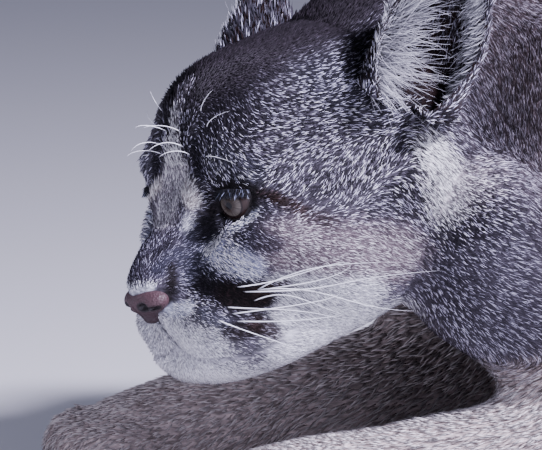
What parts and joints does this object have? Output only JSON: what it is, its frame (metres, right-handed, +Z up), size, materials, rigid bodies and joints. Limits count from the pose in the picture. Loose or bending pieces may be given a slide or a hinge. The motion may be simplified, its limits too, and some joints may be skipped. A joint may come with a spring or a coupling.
{
  "type": "cougar",
  "caption": "Life-size lying cougar at rest, head held low and turned to its left, forelegs stretched out, tail curled along its flank.",
  "frame": {"origin": "middle of the animal's bounding box, on the floor", "axes": "+Z up, -X the way the body faces, -Y the animal's left side"},
  "size_m": [1.1478, 0.5654, 0.3192],
  "materials": {
    "tawny_fur": "short dense fur, grey-brown with pale tips",
    "pale_fur": "short white fur of the muzzle and chin",
    "dark_fur": "short blackish-brown fur",
    "nose_leather": "moist pebbled skin",
    "eye": "wet, clear and glossy"
  },
  "bodies": {
    "root": {"chest": "tawny_fur", "belly": "tawny_fur", "hips": "tawny_fur", "neck": "tawny_fur", "head": "tawny_fur", "foreleg_left_upper": "tawny_fur", "foreleg_left_lower": "tawny_fur", "forepaw_left": "tawny_fur", "hindleg_left_thigh": "tawny_fur", "hindleg_left_shank": "tawny_fur", "hindfoot_left": "tawny_fur", "foreleg_right_upper": "tawny_fur", "foreleg_right_lower": "tawny_fur", "forepaw_right": "tawny_fur", "hindleg_right_thigh": "tawny_fur", "hindleg_right_shank": "tawny_fur", "hindfoot_right": "tawny_fur", "tail_root": "tawny_fur", "tail_near": "tawny_fur", "tail_far": "tawny_fur", "jaw": "pale_fur", "ear_left": "dark_fur", "ear_right": "dark_fur", "tail_tip": "dark_fur", "nose": "nose_leather", "eye_left": "eye", "eye_right": "eye"}
  },
  "joints": []
}
